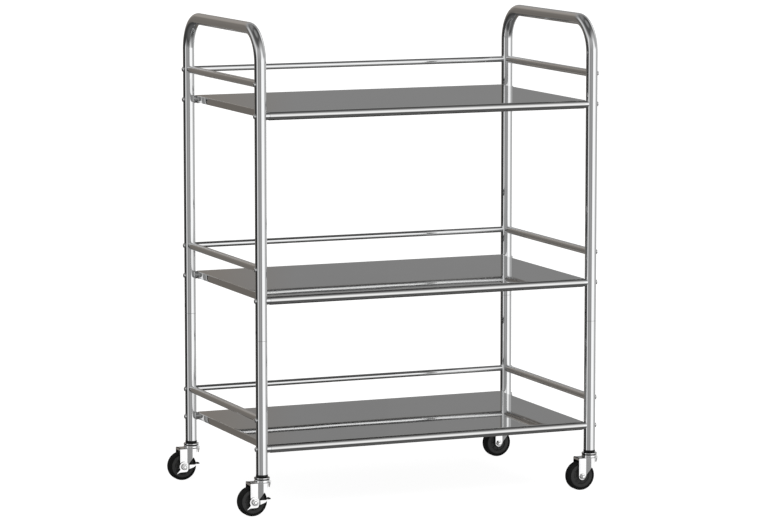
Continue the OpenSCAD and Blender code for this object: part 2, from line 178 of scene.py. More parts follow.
# Rows of (elevation, stops). A stop is (azimuth, brightness), and WARM as well where the light is
# warm. Azimuth 0 is where the photographer stands, and it rises to the right. Between rows and
# stops the light changes evenly. From elevation -10 to 24 there are a narrow white panel at about
# -66 to -52, a wide one inside about 24 to 68, and a paler one near 140. Up to elevation 5 there
# is also a black screen from about -123 to -70.
ROWS = (
    (-90, ((-180, 0.05), (180, 0.05))),
    (-62, ((-180, 0.10), (0, 0.14), (100, 0.14), (180, 0.10))),
    (-49, ((-180, 0.10), (0, 0.12), (100, 0.12), (180, 0.10))),
    (-34, (
        (-180, 0.12, WARM), (-161, 0.12, WARM), (-152, 0.06), (-120, 0.06), (0, 0.08), (60, 0.07),
        (130, 0.12), (180, 0.12, WARM),
    )),
    (-26, (
        (-180, 0.13, WARM), (-161, 0.14, WARM), (-152, 0.06), (-120, 0.05), (-70, 0.06),
        (-62, 0.25), (-50, 0.25), (-44, 0.15), (20, 0.15), (70, 0.20), (90, 0.14), (150, 0.38),
        (165, 0.13, WARM), (180, 0.13, WARM),
    )),
    (-20, (
        (-180, 0.14, WARM), (-150, 0.18, WARM), (-137, 0.17, WARM), (-122, 0.05), (-70, 0.04),
        (-62, 0.40), (-50, 0.40), (-44, 0.20), (18, 0.20), (25, 0.32), (70, 0.32), (90, 0.20),
        (130, 0.40), (150, 0.60), (165, 0.14, WARM), (180, 0.14, WARM),
    )),
    (-10, (
        (-180, 0.15, WARM), (-138, 0.17, WARM), (-131, 0.15, WARM), (-124, 0.045), (-100, 0.034),
        (-70, 0.037), (-66, 0.95), (-52, 0.95), (-47, 0.33), (-25, 0.31), (-8, 0.45), (3, 0.29),
        (19, 0.29), (24, 1.15), (68, 1.25), (80, 0.85), (92, 0.55), (118, 0.38), (132, 0.40),
        (140, 1.00), (155, 1.00), (166, 0.15, WARM), (180, 0.15, WARM),
    )),
    (5, (
        (-180, 0.245), (-178.3, 0.245), (-177.9, 0.215, WARM), (-165, 0.26, WARM),
        (-145, 0.20, WARM), (-131, 0.18, WARM), (-123, 0.05), (-70, 0.04), (-66, 0.95), (-52, 0.95),
        (-47, 0.35), (19, 0.32), (24, 1.15), (68, 1.25), (80, 0.90), (95, 0.55), (122, 0.45),
        (133, 0.68), (145, 0.68), (153, 0.36), (168, 0.26), (180, 0.245),
    )),
    (13, (
        (-180, 0.25), (-178.3, 0.25), (-177.9, 0.22, WARM), (-168, 0.30, WARM), (-149, 0.31, WARM),
        (-143, 0.20, WARM), (-131, 0.17, WARM), (-124, 0.20), (-116, 0.45), (-72, 0.30),
        (-66, 0.95), (-52, 0.95), (-47, 0.40), (24, 0.38), (33, 1.20), (57, 1.25), (66, 0.50),
        (85, 0.45), (116, 0.48), (128, 0.66), (144, 0.66), (153, 0.40), (168, 0.28), (180, 0.26),
    )),
    (24, (
        (-180, 0.36), (-150, 0.35, WARM), (-141, 0.32, WARM), (-131, 0.26), (-119, 0.78),
        (-62, 0.90), (-50, 0.90), (-40, 0.45), (26, 0.40), (35, 1.10), (55, 1.15), (64, 0.50),
        (90, 0.45), (116, 0.48), (128, 1.10), (146, 1.10), (155, 0.45), (170, 0.36), (180, 0.36),
    )),
    (34, (
        (-180, 0.36), (-60, 0.40), (10, 0.42), (34, 0.80), (56, 0.80), (68, 0.45), (112, 0.35),
        (126, 0.80), (146, 0.75), (156, 0.40), (170, 0.36), (180, 0.36),
    )),
    (44, (
        (-180, 0.22), (-150, 0.22), (-125, 0.12), (-5, 0.13), (25, 0.52), (70, 0.52), (100, 0.16),
        (155, 0.14), (180, 0.22),
    )),
    (54, (
        (-180, 0.12), (-168, 0.26), (-120, 0.24), (-95, 0.09), (0, 0.10), (25, 0.30), (70, 0.30),
        (105, 0.09), (158, 0.08), (180, 0.12),
    )),
    (64, (
        (-180, 0.08), (-168, 0.22), (-120, 0.20), (-90, 0.08), (45, 0.10), (82, 0.16), (130, 0.07),
        (180, 0.08),
    )),
    (70, ((-180, 0.10), (180, 0.10))),
    (78, ((-180, 0.27), (180, 0.27))),
)


def row_light(n, around, stops):
    """One row's light by azimuth."""
    places = []
    for azimuth, brightness, *tint in stops:
        channels = tint[0] if tint else NEUTRAL
        places.append(((azimuth + 180) / 360, tuple(brightness * c / STOP_SCALE for c in channels)))
    return n.ramp(around, places)


def background(n, colour, strength):
    node = n.add("ShaderNodeBackground")
    n.feed(node.inputs["Color"], colour)
    node.inputs["Strength"].default_value = strength
    return node.outputs[0]


def make_world():
    """The rows' light on things and in their reflections, and plain white behind them."""
    world = bpy.data.worlds.new("studio")
    world.use_nodes = True
    scene.world = world
    n = Nodes(world.node_tree)
    direction = n.add("ShaderNodeTexCoord").outputs["Generated"]
    towards = (math.sin(VIEW_YAW), -math.cos(VIEW_YAW), 0)
    right = (math.cos(VIEW_YAW), math.sin(VIEW_YAW), 0)
    azimuth = n.math("ARCTAN2", n.dot(direction, right), n.dot(direction, towards))
    around = n.span(azimuth, -math.pi, math.pi)
    elevation = n.math("ARCSINE", n.dot(direction, (0, 0, 1)))
    below, stops = ROWS[0]
    colour = row_light(n, around, stops)
    for height, stops in ROWS[1:]:
        rise = n.span(elevation, math.radians(below), math.radians(height))
        colour = n.mix(rise, colour, row_light(n, around, stops))
        below = height
    pick = n.add("ShaderNodeMixShader")
    n.join(n.add("ShaderNodeLightPath").outputs["Is Camera Ray"], pick.inputs[0])
    n.join(background(n, colour, STOP_SCALE), pick.inputs[1])
    n.join(background(n, (1, 1, 1, 1), 1.0), pick.inputs[2])
    n.join(pick.outputs[0], n.add("ShaderNodeOutputWorld").inputs["Surface"])


make_world()


def add_sun(name, strength, softness, azimuth, elevation):
    """A soft sun; azimuth as in ROWS. It lights surfaces without showing in the chrome."""
    data = bpy.data.lights.new(name, "SUN")
    data.energy = strength
    data.angle = math.radians(softness)
    light = bpy.data.objects.new(name, data)
    a, e = math.radians(azimuth) + VIEW_YAW, math.radians(elevation)
    back = Vector((math.sin(a) * math.cos(e), -math.cos(a) * math.cos(e), math.sin(e)))
    light.rotation_euler = back.to_track_quat("Z", "Y").to_euler()
    light.visible_glossy = False
    scene.collection.objects.link(light)


add_sun("key_light", strength=2.2, softness=50, azimuth=35, elevation=62)
add_sun("fill_light", strength=1.0, softness=60, azimuth=-60, elevation=50)

# ---- material helpers ----


def new_material(name):
    """A new material, its nodes, its shader, and the object's own coordinates."""
    material = bpy.data.materials.new(name)
    material.use_nodes = True
    n = Nodes(material.node_tree)
    shader = n.add("ShaderNodeBsdfPrincipled")
    n.join(shader.outputs[0], n.add("ShaderNodeOutputMaterial").inputs["Surface"])
    return material, n, shader, n.add("ShaderNodeTexCoord").outputs["Object"]


def bump(n, shader, height, distance):
    node = n.add("ShaderNodeBump")
    n.join(height, node.inputs["Height"])
    node.inputs["Distance"].default_value = distance
    node.inputs["Strength"].default_value = 1.0
    n.join(node.outputs[0], shader.inputs["Normal"])


# ---- floor ----

FLOOR_HALF = 80.0
FLOOR_GLOW = 0.95  # keeps the floor nearly white, with a faint shadow


def make_floor():
    half = FLOOR_HALF
    mesh = bpy.data.meshes.new("floor")
    corners = [(-half, -half, 0), (half, -half, 0), (half, half, 0), (-half, half, 0)]
    mesh.from_pydata(corners, [], [(0, 1, 2, 3)])
    floor = bpy.data.objects.new("floor", mesh)
    material, n, shader, place = new_material("pale_floor")
    shader.inputs["Roughness"].default_value = 0.9
    shader.inputs["Specular IOR Level"].default_value = 0.0
    shader.inputs["Emission Color"].default_value = (1, 1, 1, 1)
    shader.inputs["Emission Strength"].default_value = FLOOR_GLOW
    mottle = n.mix(n.noise(place, 3.0), (0.15, 0.15, 0.15, 1), (0.17, 0.17, 0.17, 1))
    n.join(mottle, shader.inputs["Base Color"])
    mesh.materials.append(material)
    scene.collection.objects.link(floor)
    floor.visible_glossy = False


make_floor()

# ---- materials ----


def bright_metal(name, light, dark, rough, smudge_scale=9.0, ripple=None):
    """Plated or polished metal: smudges that dull it, fine specks, and perhaps a faint ripple."""
    material, n, shader, place = new_material(name)
    smudges = n.noise(place, smudge_scale, 4.0, 0.6)
    specks = n.noise(place, 900.0, 2.0)
    colour = n.mix(n.span(smudges, 0.35, 0.7), (*light, 1), (*dark, 1))
    n.join(colour, shader.inputs["Base Color"])
    dulling = n.span(smudges, 0.3, 0.75, *rough)
    speckle = n.span(specks, 0.3, 0.7, 0.85, 1.15)
    n.join(n.math("MULTIPLY", dulling, speckle), shader.inputs["Roughness"])
    shader.inputs["Metallic"].default_value = 1.0
    if ripple:
        depth, scale = ripple
        bump(n, shader, n.noise(place, scale, 1.0), depth)
    return material


def moulded(name, dark, light, rough, grain, specular=0.22):
    """Dark plastic or rubber with a fine moulded grain, and large patches of varying roughness whose darker
    and lighter colour is painted shade.
    """
    material, n, shader, place = new_material(name)
    patches = n.noise(place, 55.0, 4.0, 0.6)
    # painted shade: the large patches darken and lighten the base colour
    colour = n.mix(n.span(patches, 0.35, 0.75), (*dark, 1), (*light, 1))
    n.join(colour, shader.inputs["Base Color"])
    n.join(n.span(patches, 0.3, 0.75, *rough), shader.inputs["Roughness"])
    shader.inputs["Specular IOR Level"].default_value = specular
    scale, depth = grain
    bump(n, shader, n.noise(place, scale, 2.0), depth)
    return material


METALS = {
    "chrome_tube": {"light": (0.80, 0.805, 0.81), "dark": (0.77, 0.775, 0.78), "rough": (0.012, 0.03)},
    "polished_sheet": {
        "light": (0.715, 0.715, 0.712), "dark": (0.69, 0.688, 0.684), "rough": (0.02, 0.04),
        "smudge_scale": 6.0, "ripple": (0.0003, 5.0),
    },
    "caster_steel": {
        "light": (0.93, 0.93, 0.93), "dark": (0.88, 0.88, 0.885), "rough": (0.05, 0.12), "smudge_scale": 40.0,
    },
    "bolt_steel": {
        "light": (0.92, 0.92, 0.92), "dark": (0.84, 0.84, 0.84), "rough": (0.04, 0.1), "smudge_scale": 120.0,
    },
    "plain_steel": {
        "light": (0.55, 0.55, 0.55), "dark": (0.42, 0.42, 0.43), "rough": (0.25, 0.42), "smudge_scale": 80.0,
    },
    # painted shade: near-black steel for the cross pins, standing in for the shade inside their holes
    "painted_shade_steel": {
        "light": (0.06, 0.06, 0.06), "dark": (0.03, 0.03, 0.03), "rough": (0.3, 0.5), "smudge_scale": 80.0,
    },
}
FINE_GRAIN = (2500.0, 0.00005)  # scale and depth
PLASTICS = {
    "black_plastic": {
        "dark": (0.006, 0.006, 0.006), "light": (0.014, 0.014, 0.014), "rough": (0.3, 0.45),
        "grain": FINE_GRAIN,
    },
    "tyre_rubber": {
        "dark": (0.004, 0.004, 0.004), "light": (0.009, 0.009, 0.009), "rough": (0.6, 0.8),
        "grain": (1800.0, 0.0001), "specular": 0.1,
    },
    "hub_plastic": {
        "dark": (0.018, 0.018, 0.018), "light": (0.034, 0.034, 0.033), "rough": (0.35, 0.5),
        "grain": FINE_GRAIN,
    },
}
MATERIALS = {name: bright_metal(name, **look) for name, look in METALS.items()}
MATERIALS.update({name: moulded(name, **look) for name, look in PLASTICS.items()})

RECORD = frame["record"]
SLOT_OF = {p["node"]: p["material_slot"] for p in RECORD["subparts"]}
BODY_OF = {node: body for body, nodes in RECORD["behaviour"]["bodies"].items() for node in nodes}
for name, obj in frame["nodes"].items():
    obj.data.materials.clear()
    obj.data.materials.append(MATERIALS[SLOT_OF[name]])

# ---- mesh helpers: lengths in millimetres until a piece is made ----

CORNERS = ("front_left", "back_left", "front_right", "back_right")
X, Y, Z = Vector((1, 0, 0)), Vector((0, 1, 0)), Vector((0, 0, 1))
SHARP_ANGLE = 38.0  # edges that turn more than this, in degrees, stay sharp
EDGE_MID = 0.3  # a rounded edge's middle point is this share of its radius from either face
mid = Vector((mid_x / MM, mid_y / MM, 0))


def middle(node):
    low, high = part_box(node)
    return Vector([(a + b) / 2 / MM for a, b in zip(low, high)])


def reach(node, axis, end):
    """A node's lowest (end 0) or highest (end 1) coordinate."""
    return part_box(node)[end][axis] / MM


def sin_cos(*degrees):
    """The sine and cosine of each angle."""
    return [(math.sin(math.radians(a)), math.cos(math.radians(a))) for a in degrees]


def both_sides(side):
    """A profile and its mirror image about the middle."""
    return side + [(-along, r) for along, r in reversed(side)]


class Shape:
    """Vertices and faces of one or more closed shells."""

    def __init__(self):
        self.verts = []
        self.faces = []

    def grid(self, rings, loop_rings=False):
        """Rings of equal length joined side by side, closed into a loop or by two flat ends."""
        base, count = len(self.verts), len(rings[0])
        for ring in rings:
            self.verts.extend(Vector(p) for p in ring)
        spans = len(rings) if loop_rings else len(rings) - 1
        for k in range(spans):
            a, b = base + k * count, base + ((k + 1) % len(rings)) * count
            for i in range(count):
                j = (i + 1) % count
                self.faces.append((a + i, a + j, b + j, b + i))
        if not loop_rings:
            self.faces.append(tuple(base + i for i in reversed(range(count))))
            last = base + (len(rings) - 1) * count
            self.faces.append(tuple(last + i for i in range(count)))
        return self

    def pipe(self, path, across, radius, wall, segments=96, chamfer=0.25):
        """A hollow tube along a path; across is a constant direction square to the path."""
        frames = []
        for k, point in enumerate(path):
            ahead = (path[min(k + 1, len(path) - 1)] - path[max(k - 1, 0)]).normalized()
            frames.append((point, across, ahead.cross(across).normalized(), ahead))

        def ring(frame_k, r, slide=0.0):
            point, u, v, ahead = frame_k
            turns = [2 * math.pi * i / segments for i in range(segments)]
            return [point + ahead * slide + u * (r * math.cos(t)) + v * (r * math.sin(t)) for t in turns]

        first, last = frames[0], frames[-1]
        inner, near = radius - wall, chamfer * EDGE_MID
        rings = [
            ring(first, inner, chamfer * 0.5),
            ring(first, inner + chamfer * 0.5),
            ring(first, radius - chamfer),
            ring(first, radius - near, near),
            ring(first, radius, chamfer),
        ]
        rings += [ring(f, radius) for f in frames[1:-1]]
        rings += [
            ring(last, radius, -chamfer),
            ring(last, radius - near, -near),
            ring(last, radius - chamfer),
            ring(last, inner + chamfer * 0.5),
            ring(last, inner, -chamfer * 0.5),
        ]
        rings += [ring(f, inner) for f in reversed(frames[1:-1])]
        return self.grid(rings, loop_rings=True)

    def turn(self, centre, axis, profile, segments=64, loop=False):
        """Rings round an axis: profile is (distance along the axis, radius or a function of angle)."""
        u = axis.orthogonal().normalized()
        if abs(axis.z) < 0.5:
            u = axis.cross(Z).normalized()
        v = axis.cross(u)
        rings = []
        for along, r in profile:
            ring = []
            for i in range(segments):
                t = 2 * math.pi * i / segments
                size = r(t) if callable(r) else r
                ring.append(centre + axis * along + u * (size * math.cos(t)) + v * (size * math.sin(t)))
            rings.append(ring)
        return self.grid(rings, loop_rings=loop)

    def plate(self, outline, place, low, high, edge=0.3):
        """An outline given a thickness, from low to high, and rounded edges.

        place(a, b, c) gives the point for a place (a, b) on the outline and a height c.
        """
        near = edge * EDGE_MID
        levels = ((low, edge), (low + near, near), (low + edge, 0))
        levels += ((high - edge, 0), (high - near, near), (high, edge))
        return self.grid([[place(a, b, c) for a, b in shrink(outline, inset)] for c, inset in levels])

    def piece(self, name, node, slot, sharp=SHARP_ANGLE, finish=None):
        """Makes the shape a piece that stands for a CAD node; finish is its material, if not the slot's."""
        mesh = bpy.data.meshes.new(name)
        mesh.from_pydata([v * MM for v in self.verts], [], self.faces)
        bm = bmesh.new()
        bm.from_mesh(mesh)
        bmesh.ops.remove_doubles(bm, verts=bm.verts, dist=1e-6)
        bmesh.ops.recalc_face_normals(bm, faces=bm.faces)
        bm.to_mesh(mesh)
        bm.free()
        obj = bpy.data.objects.new(name, mesh)
        scene.collection.objects.link(obj)
        mesh.materials.append(MATERIALS[finish or slot])
        shade(obj, sharp)
        declare(obj, node)
        return obj


def shade(obj, sharp=SHARP_ANGLE):
    """Smooth shading that leaves flat faces flat beside their rounded edges."""
    obj.data.shade_smooth()
    obj.data.set_sharp_from_angle(angle=math.radians(sharp))
    even = obj.modifiers.new("even_shading", "WEIGHTED_NORMAL")
    even.mode = "FACE_AREA"
    even.weight = 100
    even.keep_sharp = True


def declare(obj, node):
    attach(obj, BODY_OF[node])
    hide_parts(node)


def shrink(outline, inset):
    """An outline moved inwards; it runs anticlockwise."""
    if not inset:
        return list(outline)
    out = []
    count = len(outline)
    for i in range(count):
        p, q, r = (Vector(outline[(i + k) % count]) for k in (-1, 0, 1))
        a, b = (q - p).normalized(), (r - q).normalized()
        normal = Vector((-(a.y + b.y), a.x + b.x))
        normal = normal.normalized() / max(0.5, math.sqrt(max(0.0, (1 + a.dot(b)) / 2)))
        out.append(q + normal * inset)
    return [(p.x, p.y) for p in out]


def rounded(points, radii, steps=6):
    """A polygon with its corners rounded; a radius of 0 keeps a corner sharp."""
    out = []
    count = len(points)
    for i in range(count):
        p, q, r = (Vector(points[(i + k) % count]) for k in (-1, 0, 1))
        radius = radii[i] if isinstance(radii, (list, tuple)) else radii
        a, b = (p - q).normalized(), (r - q).normalized()
        half = math.acos(max(-1.0, min(1.0, a.dot(b)))) / 2
        if radius <= 0 or half > math.radians(88):
            out.append((q.x, q.y))
            continue
        back = min(radius / math.tan(half), (p - q).length * 0.45, (r - q).length * 0.45)
        start, end = q + a * back, q + b * back
        for k in range(steps + 1):
            t = k / steps
            s = start.lerp(q, t).lerp(q.lerp(end, t), t)
            out.append((s.x, s.y))
    return out


def arc(centre, radius, start, end, steps):
    """Points on an arc, in degrees."""
    turns = [math.radians(start + (end - start) * k / steps) for k in range(steps + 1)]
    return [(centre[0] + radius * math.cos(t), centre[1] + radius * math.sin(t)) for t in turns]


def cut_holes(obj, centres, radius, length):
    """Drills holes along X through a mesh."""
    cutter = Shape()
    for centre in centres:
        cutter.turn(centre, X, ((-length / 2, radius), (length / 2, radius)), segments=32)
    mesh = bpy.data.meshes.new("cutter")
    mesh.from_pydata([v * MM for v in cutter.verts], [], cutter.faces)
    tool = bpy.data.objects.new("cutter", mesh)
    scene.collection.objects.link(tool)
    obj.modifiers.clear()
    modifier = obj.modifiers.new("holes", "BOOLEAN")
    modifier.operation = "DIFFERENCE"
    modifier.solver = "EXACT"
    modifier.object = tool
    done = bpy.data.meshes.new_from_object(obj.evaluated_get(bpy.context.evaluated_depsgraph_get()))
    obj.modifiers.remove(modifier)
    name, old = obj.data.name, obj.data
    obj.data = done
    bpy.data.meshes.remove(old)
    done.name = name
    bpy.data.objects.remove(tool)
    bpy.data.meshes.remove(mesh)
    shade(obj)


# ---- side frames ----

LEG_R = 10.0
LEG_WALL = 1.2
BEND_R = 56.0  # of the handle's corners, along the tube's middle
PIN_R = 2.5
PIN_BORE_R = 1.5
PIN_GAP = 0.05  # between a pin and its hole
LEG_STATIONS = range(400, 701, 60)  # heights of sections up the straight part of an upper leg
legs = {c: middle(f"{c}_lower_leg") for c in CORNERS}
SEAM_Z = reach("front_left_lower_leg", 2, 1)
LEG_END_Z = reach("front_left_lower_leg", 2, 0)
HANDLE_Z = reach("left_upper_frame", 2, 1) - LEG_R
PIN_Z = middle("leg_joint_pins").z


def handle_frame(side):
    """One bent tube, both upper legs and the handle, drilled for the cross pins."""
    node = f"{side}_upper_frame"
    x = middle(node).x
    y_front, y_back = legs[f"front_{side}"].y, legs[f"back_{side}"].y
    bend_z = HANDLE_Z - BEND_R
    heights = [reach(node, 2, 0), PIN_Z - 6, PIN_Z + 6, *LEG_STATIONS]
    path = [Vector((x, y_front, z)) for z in heights]
    path += [Vector((x, y, z)) for y, z in arc((y_front + BEND_R, bend_z), BEND_R, 180, 90, 40)]
    path += [Vector((x, y, z)) for y, z in arc((y_back - BEND_R, bend_z), BEND_R, 90, 0, 40)]
    path += [Vector((x, y_back, z)) for z in reversed(heights)]
    obj = Shape().pipe(path, X, LEG_R, LEG_WALL).piece(f"{side}_handle_frame", node, "chrome_tube")
    cut_holes(obj, [Vector((x, y, PIN_Z)) for y in (y_front, y_back)], PIN_R + PIN_GAP, 3 * LEG_R)


def leg_tube(corner):
    axis = legs[corner]
    path = [Vector((axis.x, axis.y, z)) for z in (LEG_END_Z, LEG_END_Z + 60, 200, SEAM_Z)]
    Shape().pipe(path, X, LEG_R, LEG_WALL).piece(f"{corner}_leg_tube", f"{corner}_lower_leg", "chrome_tube")


def cross_pins():
    """Hollow pins across the legs, with their ends just inside the tubes' faces; their near-black steel is
    painted shade for the dark pin holes.
    """
    end = LEG_R - 0.5
    side = [(-end, PIN_BORE_R), (-end, PIN_R - 0.2), (-end + 0.25, PIN_R)]
    pins = Shape()
    for axis in legs.values():
        pins.turn(Vector((axis.x, axis.y, PIN_Z)), X, both_sides(side), 32, loop=True)
    pins.piece("hollow_cross_pins", "leg_joint_pins", "plain_steel", finish="painted_shade_steel")


for side in ("left", "right"):
    handle_frame(side)
for corner in CORNERS:
    leg_tube(corner)
cross_pins()

# ---- rails and shelf tubes ----

TIERS = ("top", "middle", "bottom")
BACK_RAIL_R = 5.2
SIDE_RAIL_R = 6.35
SHELF_TUBE_R = 6.5
THIN_WALL = 1.0
SADDLE_GAP = 0.03  # between a leg's face and the tube ends that follow it


def cross_tube(name, node, radius, segments):
    """A tube along X whose ends follow the legs' round faces."""
    centre = middle(node)
    half = legs["front_right"].x - mid.x
    turns = [2 * math.pi * i / segments for i in range(segments)]

    def saddle(y):
        """How far out the tube reaches, this far from the leg's axis."""
        return half - math.sqrt(max(0.0, (LEG_R + SADDLE_GAP) ** 2 - y * y))

    def ring(r, sign, along=None):
        out = []
        for t in turns:
            y, z = r * math.cos(t), r * math.sin(t)
            x = saddle(y) if along is None else along
            out.append(Vector((centre.x + sign * x, centre.y + y, centre.z + z)))
        return out

    inner = radius - THIN_WALL
    stations = [half - 20, half * 0.5, 0, -half * 0.5, 20 - half]
    rings = [ring(inner, 1), ring(radius, 1)] + [ring(radius, 1, s) for s in stations]
    rings += [ring(radius, -1), ring(inner, -1)] + [ring(inner, 1, s) for s in reversed(stations)]
    Shape().grid(rings, loop_rings=True).piece(name, node, "chrome_tube")


def side_rail(tier, side):
    """A rail between the legs of one end, running a little past them."""
    node = f"{tier}_{side}_rail"
    centre = middle(node)
    y_front, y_back = legs[f"front_{side}"].y, legs[f"back_{side}"].y
    stations = (reach(node, 1, 0), y_front + 30, mid.y, y_back - 30, reach(node, 1, 1))
    path = [Vector((centre.x, y, centre.z)) for y in stations]
    Shape().pipe(path, X, SIDE_RAIL_R, THIN_WALL, 72).piece(f"{tier}_{side}_guard_rail", node, "chrome_tube")


for tier in TIERS:
    cross_tube(f"{tier}_rear_guard_rail", f"{tier}_back_rail", BACK_RAIL_R, 64)
    for end in ("front", "back"):
        cross_tube(f"{tier}_{end}_cross_tube", f"{tier}_{end}_shelf_tube", SHELF_TUBE_R, 72)
    for side in ("left", "right"):
        side_rail(tier, side)

# ---- shelves ----

SHEET = 0.7
FLANGE_H = 12.0  # depth of the turned-down ends
CORNER_R = 4.0
FOLD_R = 1.6
FLANGE_BACK = 6.8  # from the end of a turned-down flange to the shelf tube's axis
ROLL_TURN = 224  # degrees that the sheet wraps round a shelf tube


class Sheet:
    """A surface made of patches that share the points of their edges."""

    def __init__(self):
        self.verts = []
        self.faces = []
        self.known = {}

    def vert(self, x, y, z):
        key = (round(x, 4), round(y, 4), round(z, 4))
        if key not in self.known:
            self.known[key] = len(self.verts)
            self.verts.append((mid + Vector((x, y, z))) * MM)
        return self.known[key]

    def patch(self, rows):
        for near, far in zip(rows, rows[1:]):
            for k in range(len(near) - 1):
                around = (near[k], near[k + 1], far[k + 1], far[k])
                self.faces.append(tuple(self.vert(*point) for point in around))

    def piece(self, name, node, slot, top):
        """Thickens the sheet downwards from its top side; top is the height of its level face."""
        mesh = bpy.data.meshes.new(name)
        mesh.from_pydata(self.verts, [], self.faces)
        bm = bmesh.new()
        bm.from_mesh(mesh)
        bmesh.ops.remove_doubles(bm, verts=bm.verts, dist=1e-7)
        bmesh.ops.recalc_face_normals(bm, faces=bm.faces)
        near_top = (top - 1) * MM
        level = [f for f in bm.faces if abs(f.normal.z) > 0.9 and f.calc_center_median().z > near_top]
        if max(level, key=lambda f: f.calc_area()).normal.z < 0:
            bmesh.ops.reverse_faces(bm, faces=bm.faces)
        bm.to_mesh(mesh)
        bm.free()
        obj = bpy.data.objects.new(name, mesh)
        scene.collection.objects.link(obj)
        mesh.materials.append(MATERIALS[slot])
        solid = obj.modifiers.new("sheet", "SOLIDIFY")
        solid.thickness = SHEET * MM
        solid.offset = -1
        solid.use_even_offset = True
        solid.use_rim = True
        shade(obj)
        declare(obj, node)


def tray(tier):
    """A sheet with rolled front and back edges, turned-down ends and rounded corners."""
    node = f"{tier}_shelf"
    axis_z = middle(f"{tier}_front_shelf_tube").z
    top = reach(node, 2, 1)
    roll = top - axis_z
    half_x = (reach(node, 0, 1) - reach(node, 0, 0)) / 2
    half_y = legs["back_left"].y - mid.y
    hem_x, fold_x, flange_y = half_x - CORNER_R, half_x - FOLD_R, half_y - FLANGE_BACK
    hem_xs = [-hem_x + 2 * hem_x * k / 12 for k in range(13)]
    ys = [-flange_y + 2 * flange_y * k / 10 for k in range(11)]
    sheet = Sheet()
    sheet.patch([[(x, y, top) for x in (-fold_x, *hem_xs, fold_x)] for y in ys])

    def rolled_edge(side):
        rows = [[(x, side * flange_y, top) for x in hem_xs], [(x, side * half_y, top) for x in hem_xs]]
        for k in range(1, 33):
            t = math.radians(90 + ROLL_TURN * k / 32)
            y, z = side * (half_y - roll * math.cos(t)), axis_z + roll * math.sin(t)
            rows.append([(x, y, z) for x in hem_xs])
        sheet.patch(rows)

    def turned_down_end(side):
        fold = [(side * (fold_x + FOLD_R * s), top - FOLD_R * (1 - c))
                for s, c in sin_cos(0, 15, 30, 45, 60, 75, 90)]
        fold += [(side * half_x, top - FLANGE_H * 0.6), (side * half_x, top - FLANGE_H)]
        sheet.patch([[(x, y, z) for y in ys] for x, z in fold])

    def corner_pad(side, end):
        pad = [(hem_x, flange_y), (fold_x, flange_y), (half_x - 0.4, flange_y + 0.9)]
        pad += arc((hem_x, half_y - CORNER_R), CORNER_R, 0, 90, 10)
        sheet.faces.append(tuple(sheet.vert(side * a, end * b, top) for a, b in pad))

    for side in (-1, 1):
        rolled_edge(side)
        turned_down_end(side)
        for end in (-1, 1):
            corner_pad(side, end)
    sheet.piece(f"{tier}_tray", node, "polished_sheet", top)


for tier in TIERS:
    tray(tier)

# ---- domed bolts ----

SHANK_R = 2.5
HEAD_R = 4.2
SOCKET_R = 1.6  # of the hexagon socket, to its corners
SHELF_BOLT_IN = 24  # how far a shank runs in from the leg's axis
BACK_BOLT_IN = 24
FRONT_BOLT_IN = 7.8


def hexagon(size):
    """A hexagon's radius by angle, for a distance across its corners of 2 * size."""
    return lambda t: size * math.cos(math.pi / 6) / math.cos((t % (math.pi / 3)) - math.pi / 6)


def bolt_heads(name, node, places, length):
    """Button heads with hexagon sockets, outward along X from each leg, on their shanks."""
    foot, rim = LEG_R - 0.02, LEG_R + 0.5
    profile = [(-length, SHANK_R - 0.3), (-length + 0.4, SHANK_R), (foot, SHANK_R)]
    profile += [(foot, HEAD_R - 0.3), (LEG_R + 0.15, HEAD_R - 0.05), (rim, HEAD_R)]
    profile += [(rim + 2.05 * s, 1.5 + 2.7 * c) for s, c in sin_cos(12, 24, 36, 48, 60, 72, 84)]
    profile += [(LEG_R + 2.55, 1.72), (LEG_R + 2.4, hexagon(SOCKET_R))]
    profile += [(LEG_R + 1.2, hexagon(SOCKET_R - 0.05))]
    shape = Shape()
    for centre, out in places:
        shape.turn(centre, X * out, profile, 48)
    shape.piece(name, node, "bolt_steel", sharp=32)


def bolt_places(heights, end=""):
    """(centre, outward direction) at these heights on each leg, or on those of one end."""
    places = []
    for corner in CORNERS:
        if corner.startswith(end):
            out = -1 if corner.endswith("left") else 1
            places += [(Vector((legs[corner].x, legs[corner].y, z)), out) for z in heights]
    return places


shelf_zs = [middle(f"{tier}_front_shelf_tube").z for tier in TIERS]
rail_zs = [middle(f"{tier}_back_rail").z for tier in TIERS]
bolt_heads("shelf_bolt_set", "shelf_bolts", bolt_places(shelf_zs), SHELF_BOLT_IN)
bolt_heads("front_guard_bolt_set", "front_rail_bolts", bolt_places(rail_zs, "front"), FRONT_BOLT_IN)
bolt_heads("back_guard_bolt_set", "back_rail_bolts", bolt_places(rail_zs, "back"), BACK_BOLT_IN)

# ---- casters: leg inserts and swivel caps ----

CROWN_Z = 55.4  # underside of the fork's crown
CROWN_T = 2.0
RACE_H = 4.6
CAP_Z = CROWN_Z + CROWN_T + RACE_H + 0.7
INSERT_Z = LEG_END_Z - 4.5
STEM_HOLE_R = 4.05


def leg_insert(shape, base):
    """A plastic plug with a collar below the leg's end."""
    low, end = INSERT_Z, LEG_END_Z
    profile = [(low, STEM_HOLE_R), (low, 9.0), (low + 0.2, 9.5), (low + 1.0, 10.05), (low + 1.5, 10.25)]
    profile += [(end - 0.5, 10.3), (end - 0.12, 10.15), (end, 9.9), (end, 8.75), (end + 3, 8.75)]
    profile += [(end + 34, 8.6), (end + 34, STEM_HOLE_R)]
    shape.turn(base, Z, profile, loop=True)


def seal_ring(shape, base):
    """A black ring between the swivel cap and the ball race."""
    low = CAP_Z - 0.66
    profile = [(low, 10.2), (low, 12.8), (low + 0.1, 13.15), (low + 0.3, 13.3)]
    profile += [(low + 0.7, 13.3), (low + 0.92, 13.1), (low + 0.92, 10.2)]
    shape.turn(base, Z, profile, loop=True)


